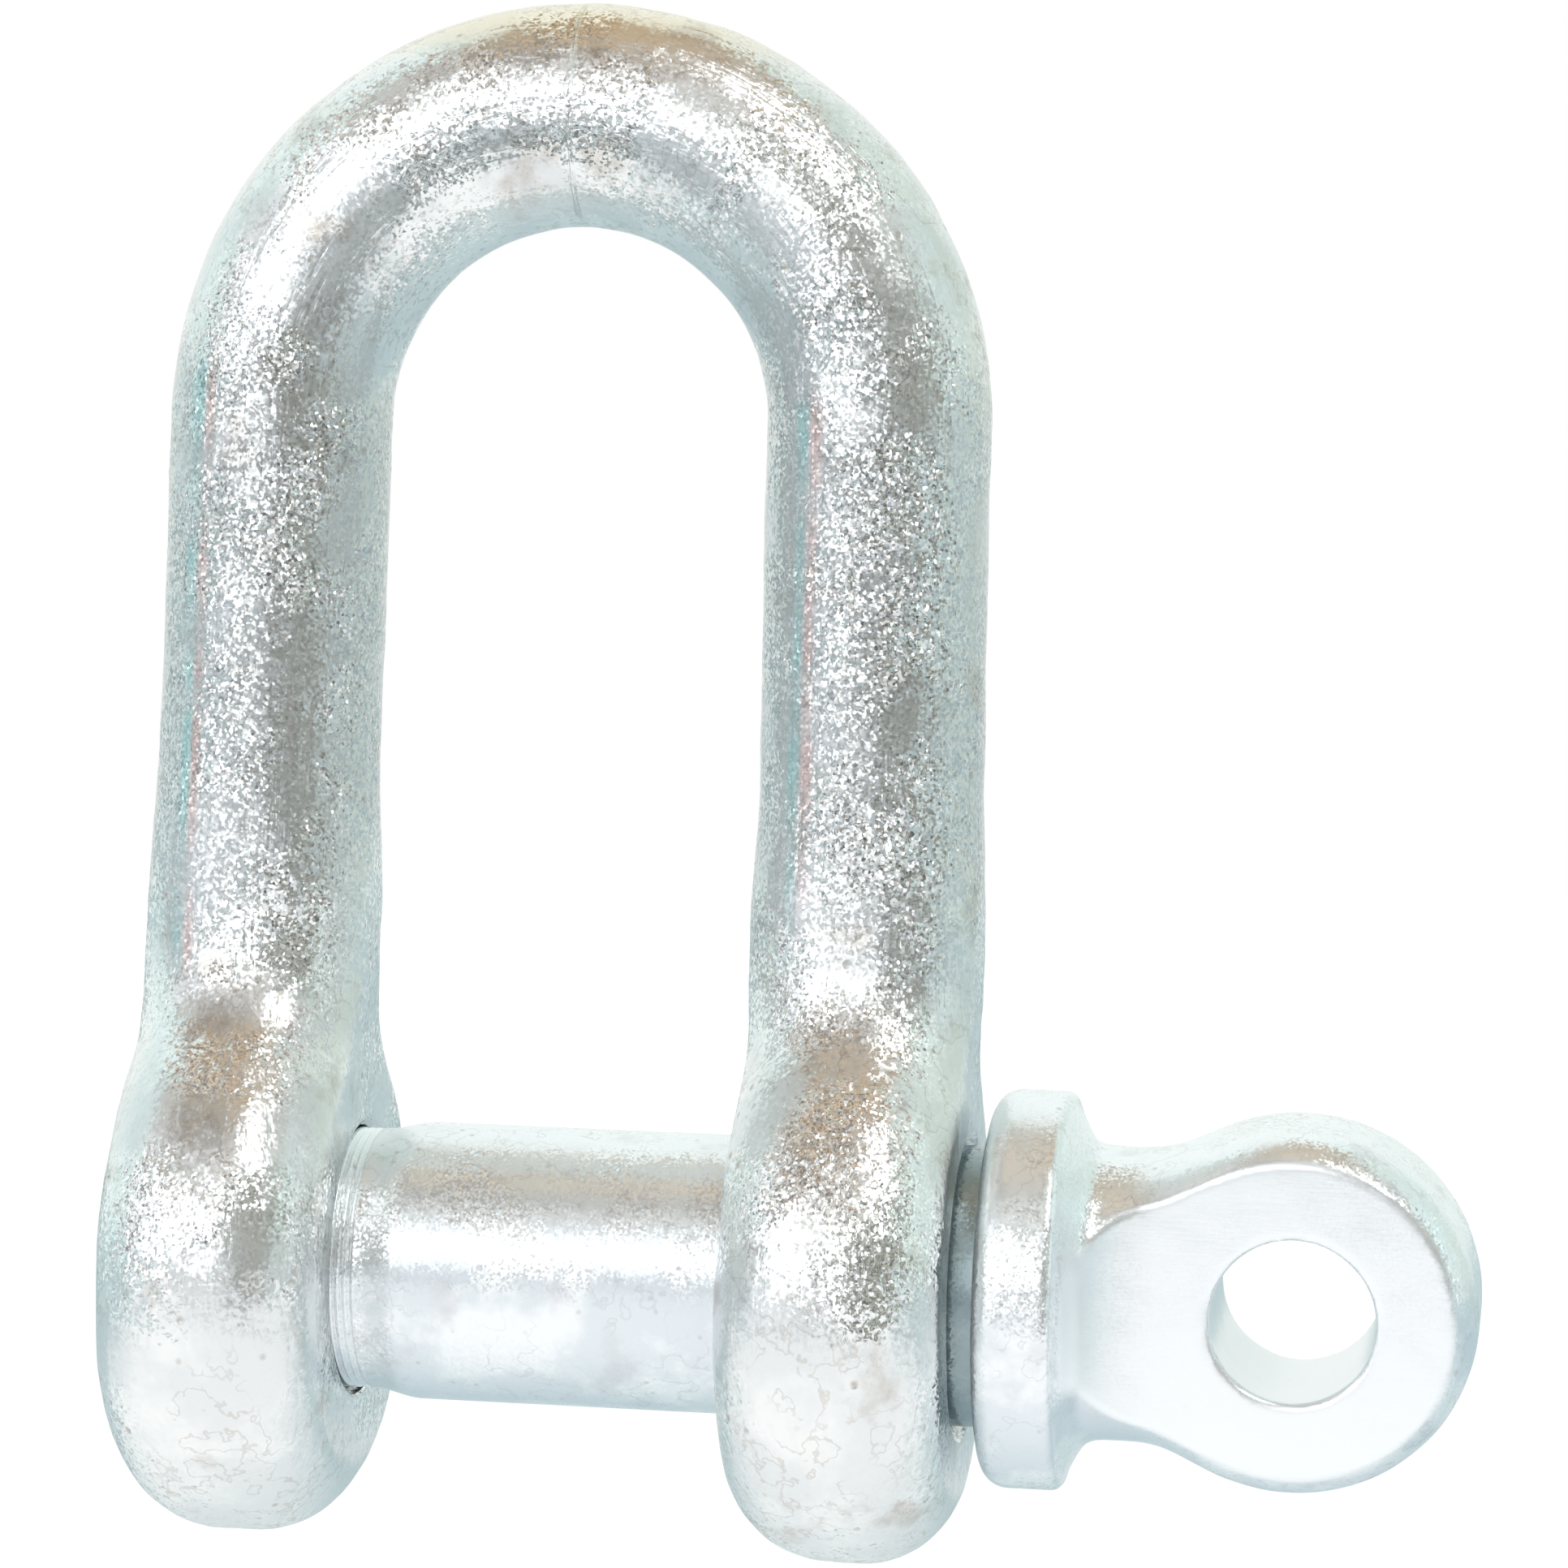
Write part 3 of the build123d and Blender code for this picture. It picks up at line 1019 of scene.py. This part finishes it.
@dataclass
class ScrewPin:
    """The one-piece pin: threaded tip, shank, collar and flattened eye. Sizes are in millimetres."""

    finish: ZincFinish = MACHINED_ZINC
    tip_x: float = -24.0
    tip_chamfer: float = 1.4
    thread_radius: float = 8.0
    thread_root: float = 6.77
    thread_end: float = -12.65
    thread_pitch: float = 2.0
    runout: Span = (0.3, -1.4)  # where the grooves are gone and where they are whole, from the thread's end
    ring_spacing: float = 0.46
    ring_depth: float = 0.22
    ring_start: Span = (-12.3, -12.0)
    ring_stop: Span = (-10.75, -11.0)
    taper: Span = (-10.6, -7.7)
    row_runs: tuple[Pair, ...] = ((0.58, -12.4), (0.80, -10.6), (0.92, -7.0))  # rows' shares and places
    foot: float = 1.5  # how far the shank stops short of the collar's middle
    shank_radius: float = 8.5
    collar_x: float = 29.7
    collar_radius: float = 12.1
    collar_half: float = 2.7
    head_margin: float = 0.5  # how far before the collar the head's field starts
    collar_end: float = 31.95
    collar_rounding: Pair = (1.6, 0.7)  # towards the ear and towards the eye
    flank: Span = (31.95, 33.2)
    flank_radius: float = 11.3
    flank_ease: float = 0.3
    stem_radius: float = 8.9
    stem_ease: float = 1.4
    overlap: float = 3.0  # how far the flank and the stem run into what follows
    eye_x: float = 45.6
    eye_radius: float = 10.95
    eye_half: float = 6.05
    eye_turn: float = math.radians(6.6)
    eye_rim: float = 4.0
    eye_core: float = 3.0  # half thickness of the eye where its rim's rounding starts
    eye_ease: float = 3.0
    eye_hole: float = 4.85
    hole_edge: float = 0.7
    flat_edge: float = 0.25
    ramp_radius: float = 5.0
    ramp_x: float = 37.4
    ground_flats: Span = (-0.30, -0.12)  # distances from the flats between which they count as ground
    ground_hole: Span = (0.35, 0.15)
    ground_start: Span = (31.5, 32.0)
    dents: Pair = (3.0, 0.10)  # size and depth of the head's unevenness
    inset: float = 0.05
    voxel: float = 0.23

    def build(self) -> bpy.types.Object:
        """Builds the pin and dresses it.

        Returns:
            The finished piece.
        """
        material = self.finish.material()
        pin = self._head(material)
        combine(pin, self._shank(material), "UNION")
        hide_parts(PIN_NODE)
        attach(pin, "pin")
        return pin

    def _shank(self, material: bpy.types.Material) -> bpy.types.Object:
        """Makes the threaded end and the shank.

        Args:
            material: Its material.

        Returns:
            The turned part of the pin.
        """
        tree = ShapeTree("shank")
        foot = self.collar_x - self.foot
        along = tree.rows((0.0, self.tip_x), *self.row_runs, (1.0, foot))
        crest = tree.size("Thread radius", self.thread_radius)
        root = tree.size("Thread root", self.thread_root)
        groove = 1.0 - tree.thread(along, tree.size("Pitch", self.thread_pitch))
        fade = along.ramp(*(self.thread_end + end for end in self.runout))
        threaded = crest - groove * (crest - root) * fade
        chamfer = (along - self.tip_x) + (crest - self.tip_chamfer)
        ring = abs((along / self.ring_spacing).math("FRACT") - 0.5) * 2.0
        ringed = along.ramp(*self.ring_start) * along.ramp(*self.ring_stop) * self.ring_depth
        threaded = threaded.at_most(chamfer) - ring * ringed
        shank = tree.size("Shank radius", self.shank_radius)
        radius = threaded + (shank - crest) * along.ramp(*self.taper)
        return tree.bake(tree.turned(along, radius, around=128, rows=230), "pin_shank", material)

    def _head(self, material: bpy.types.Material) -> bpy.types.Object:
        """Makes the collar, the stem and the flattened eye.

        Args:
            material: Its material.

        Returns:
            The pin's head.
        """
        tree = ShapeTree(PIN_NODE)
        place = tree.place()
        x, y, z = tree.parts(place)
        out = y.beside(z)
        head = self._collar(tree, x, out)
        head = head.math("SMOOTH_MIN", self._stem(tree, x, out), self.stem_ease)
        lean, upright = math.sin(self.eye_turn), math.cos(self.eye_turn)
        depth, height = abs(y * upright + z * lean), z * upright - y * lean
        eye, cut, hole = self._eye(tree, x, depth, height)
        head = head.math("SMOOTH_MIN", eye, self.eye_ease)
        head = head.math("SMOOTH_MAX", cut, self.flat_edge).math("SMOOTH_MAX", -hole, self.hole_edge)
        dents = tree.uneven(place, "Dent depth", self.dents, seed=21.0)
        low, high = (Vector(corner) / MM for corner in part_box(PIN_NODE))
        low.x = self.collar_x - self.collar_half - self.head_margin
        mesh = tree.solid(head + self.inset + dents, low, high, self.voxel)
        ground = cut.ramp(*self.ground_flats).at_least(hole.ramp(*self.ground_hole))
        ground = ground * x.ramp(*self.ground_start)
        return tree.bake(tree.stored(mesh, "FLOAT", GROUND, ground), "screw_pin_piece", material)

    def _collar(self, tree: ShapeTree, x: Value, out: Value) -> Value:
        """Makes the distance to the collar and its sloping flank.

        Args:
            tree: The tree to build in.
            x: Place along the pin.
            out: Distance from its axis.

        Returns:
            The signed distance.
        """
        radius = tree.size("Collar radius", self.collar_radius)
        left_rounding, right_rounding = self.collar_rounding
        left = tree.rounded(self.collar_x - self.collar_half - x, out - radius, left_rounding)
        right = tree.rounded(x - self.collar_end, out - radius, right_rounding)
        disc = left.at_least(right)
        flank_start, flank_end = self.flank
        slope = (self.flank_radius - self.stem_radius) / (flank_end - flank_start)
        steep = math.hypot(1.0, slope)
        cone = ((x - flank_start) * slope + out - self.flank_radius) / steep
        cone = cone.at_least(out - self.flank_radius).at_least(self.collar_x - x)
        cone = cone.at_least(x - flank_end - self.overlap)
        return disc.math("SMOOTH_MIN", cone, self.flank_ease)

    def _stem(self, tree: ShapeTree, x: Value, out: Value) -> Value:
        """Makes the distance to the short round stem."""
        stem = out - tree.size("Stem radius", self.stem_radius)
        return stem.at_least(self.collar_x - x).at_least(x - self.eye_x + self.overlap)

    def _eye(self, tree: ShapeTree, x: Value, depth: Value, height: Value) -> tuple[Value, Value, Value]:
        """Makes the distances to the eye.

        Args:
            tree: The tree to build in.
            x: Place along the pin.
            depth: Distance from the eye's middle plane.
            height: Height in that plane.

        Returns:
            The distances to its disc, to the space between its flats, and to its hole.
        """
        radius = tree.size("Eye radius", self.eye_radius)
        out = (x - self.eye_x).beside(height)
        corner = (out - radius + self.eye_rim).at_least(0.0)
        disc = corner.beside((depth - self.eye_core).at_least(0.0)) - self.eye_rim
        half = tree.size("Eye half thickness", self.eye_half)
        flat = depth - half
        ramp_y = flat - self.ramp_radius
        ramp = self.ramp_radius - (x - self.ramp_x).beside(ramp_y)
        cut = flat.blend_to(ramp, x.below(self.ramp_x))
        hole = out - tree.size("Eye hole radius", self.eye_hole)
        return disc, cut, hole


@dataclass(frozen=True)
class SoftBox:
    """A soft patch of light on the studio's walls.

    Angles are in degrees, from the front towards the pin's eye and from level.
    """

    turn: Span
    rise: Span
    strength: float
    edge: float = 6.0

    def light(self, turn: Value, rise: Value) -> Value:
        """Returns the patch's brightness for a direction's two angles."""
        level = self._band(turn, self.turn) * self._band(rise, self.rise)
        return level * self.strength

    def _band(self, angle: Value, limits: Span) -> Value:
        """Returns 1 between two angles and 0 outside, with soft edges."""
        low, high = limits
        return angle.ramp(low - self.edge, low + self.edge) * angle.ramp(high + self.edge, high - self.edge)


@dataclass
class Studio:
    """A white floor, a soft studio light and the camera. Lengths are in metres."""

    target: tuple[float, float, float] = (0.01340, 0.0, 0.03004)
    distance: float = 0.32266
    azimuth: float = math.radians(8.796)
    elevation: float = math.radians(1.07)
    roll: float = math.radians(1.743)
    lens: float = 121.6
    boxes: tuple[SoftBox, ...] = (
        SoftBox(turn=(-54.0, 3.0), rise=(0.0, 33.0), strength=1.9, edge=7.0),
        SoftBox(turn=(28.0, 56.0), rise=(32.0, 72.0), strength=3.0, edge=5.0),
    )
    walls: tuple[tuple[float, Colour], ...] = (  # the room's colours by their turn
        (-180.0, (1.00, 1.03, 1.00)),
        (-140.0, (1.00, 1.03, 1.00)),
        (-118.0, (0.88, 1.00, 0.98)),
        (-95.0, (0.72, 0.84, 0.83)),
        (-87.0, (0.58, 0.76, 0.75)),
        (-82.0, (0.72, 0.66, 0.63)),
        (-76.0, (0.72, 0.73, 0.75)),
        (-50.0, (0.62, 0.66, 0.70)),
        (-8.0, (0.60, 0.64, 0.68)),
        (12.0, (0.40, 0.41, 0.40)),
        (30.0, (0.32, 0.32, 0.28)),
        (60.0, (0.33, 0.33, 0.30)),
        (73.0, (0.66, 0.74, 0.70)),
        (97.0, (0.80, 0.92, 0.90)),
        (128.0, (0.66, 0.74, 0.66)),
        (145.0, (0.80, 0.88, 0.84)),
        (180.0, (1.00, 1.03, 1.00)),
    )
    front_turn: Span = (105.0, 80.0)  # turns, to both sides, between which the room's front starts
    under: Colour = (0.43, 0.47, 0.48)
    under_rise: Span = (-6.0, -24.0)
    warm: Colour = (0.56, 0.52, 0.48)
    warm_rise: Span = (30.0, 46.0)
    ceiling: Colour = (0.50, 0.385, 0.27)
    ceiling_rise: Span = (60.0, 73.0)
    # painted shade of the floor, outside the painted pool of light and in the painted shadow
    painted_floor_shade: Colour = (0.52, 0.63, 0.65)
    clutter: float = 1.6  # how strongly the front of the room varies
    clutter_size: float = 0.11
    clutter_edge: Span = (0.45, 0.55)
    floor_near: float = -0.1
    floor_far: float = 1.2
    floor_wide: float = 1.0
    floor_glow: float = 1.06
    pool: Pair = (12.0, -48.0)  # middle of the lit part of the floor, in millimetres, as are the next
    pool_edge: Span = (48.0, 115.0)
    shadow_front: Span = (-17.0, 9.0)
    shadow_back: Span = (45.0, 12.0)

    def build(self) -> None:
        """Builds the camera, the light and the floor."""
        self._camera()
        self._world()
        self._floor()
        bpy.context.scene.view_settings.view_transform = "Standard"

    def _camera(self) -> None:
        """Adds the camera, turned a little about its own axis."""
        flat = math.cos(self.elevation)
        x, y = math.sin(self.azimuth) * flat, -math.cos(self.azimuth) * flat
        back = Vector((x, y, math.sin(self.elevation)))
        right = Vector((0.0, 0.0, 1.0)).cross(back).normalized()
        up = back.cross(right)
        turned_right = right * math.cos(self.roll) + up * math.sin(self.roll)
        turned_up = up * math.cos(self.roll) - right * math.sin(self.roll)
        data = bpy.data.cameras.new("camera")
        data.lens = self.lens
        data.sensor_width = 36.0
        data.clip_start = 0.01
        camera = bpy.data.objects.new("camera", data)
        turn = Matrix((turned_right, turned_up, back)).transposed().to_4x4()
        camera.matrix_world = Matrix.Translation(Vector(self.target) + back * self.distance) @ turn
        bpy.context.scene.collection.objects.link(camera)
        bpy.context.scene.camera = camera

    def _world(self) -> None:
        """Paints the studio's walls, ceiling and soft boxes, and plain white where the camera looks."""
        world = bpy.data.worlds.new("studio")
        world.use_nodes = True
        bpy.context.scene.world = world
        tree = Tree(world.node_tree)
        direction = tree.add("ShaderNodeTexCoord", None, None, "Generated")
        x, y, z = tree.parts(direction)
        turn = x.math("ARCTAN2", -y) * math.degrees(1.0)
        rise = z.math("ARCSINE") * math.degrees(1.0)
        stops = [((angle + 180.0) / 360.0, colour) for angle, colour in self.walls]
        wall = tree.add("ShaderNodeValToRGB", {"stops": stops}, {"Fac": turn / 360.0 + 0.5})
        front = abs(turn).ramp(*self.front_turn)
        wall = tree.mix(rise.ramp(*self.under_rise) * front, wall, self.under)
        wall = tree.mix(rise.ramp(*self.warm_rise) * front, wall, self.warm)
        wall = tree.mix(rise.ramp(*self.ceiling_rise), wall, self.ceiling)
        patches = tree.noise(direction, self.clutter_size, detail=1.0, seed=31.0)
        patches = patches.ramp(*self.clutter_edge)
        varied = patches.spread(-1.0, 1.0) * front * (self.clutter * 0.5) + 1.0
        light = sum((box.light(turn, rise) for box in self.boxes), start=0.0)
        lit = tree.mix(light.at_most(1.0), wall, (1.0, 1.0, 1.0))
        strength = varied.blend_to(light.at_least(1.0), light.at_most(1.0))
        studio = tree.add("ShaderNodeBackground", None, {"Color": lit, "Strength": strength})
        plain = tree.add("ShaderNodeBackground", None, {"Color": (1.0, 1.0, 1.0, 1.0), "Strength": 1.0})
        seen = tree.add("ShaderNodeLightPath", None, None, "Is Camera Ray")
        shader = tree.add("ShaderNodeMixShader", None, {0: seen, 1: studio, 2: plain})
        tree.add("ShaderNodeOutputWorld", None, {"Surface": shader})

    def _floor(self) -> None:
        """Adds the white floor that the ears stand on. It glows, and reflections see on it a painted pool
        of light and a painted shadow near the shackle.
        """
        low, _ = CAD_BOX
        height = low[2]
        mesh = bpy.data.meshes.new("floor")
        near, far, wide = self.floor_near, self.floor_far, self.floor_wide
        corners = [(-wide, near, height), (wide, near, height), (wide, far, height), (-wide, far, height)]
        mesh.from_pydata(corners, [], [(0, 1, 2, 3)])
        material = bpy.data.materials.new("white_floor")
        material.use_nodes = True
        tree = Tree(material.node_tree)
        x, y, _ = tree.parts(tree.scaled(tree.add("ShaderNodeTexCoord", None, None, "Object"), 1 / MM))
        pool_x, pool_y = self.pool
        away = (x - pool_x).beside(y - pool_y).ramp(*self.pool_edge)
        # painted shadow and painted pool of light, which only reflections see
        shadow = y.ramp(*self.shadow_front) * y.ramp(*self.shadow_back)
        shone = tree.mix(away.at_least(shadow), (1.0, 1.0, 1.0), self.painted_floor_shade)
        seen = tree.add("ShaderNodeLightPath", None, None, "Is Camera Ray")
        colour = tree.mix(seen, shone, (1.0, 1.0, 1.0))
        glow = tree.add("ShaderNodeEmission", None, {"Color": colour, "Strength": self.floor_glow})
        tree.add("ShaderNodeOutputMaterial", None, {"Surface": glow})
        mesh.materials.append(material)
        floor = bpy.data.objects.new("floor", mesh)
        bpy.context.scene.collection.objects.link(floor)


def main() -> None:
    """Builds the pieces in order and reports each."""
    logging.basicConfig(level=logging.INFO, format="%(message)s")
    Studio().build()
    for maker in (ForgedBody(), ScrewPin()):
        piece = maker.build()
        triangles = sum(len(face.vertices) - 2 for face in piece.data.polygons)
        LOG.info("%s: %d triangles", piece.name, triangles)


if __name__ == "__main__":
    main()
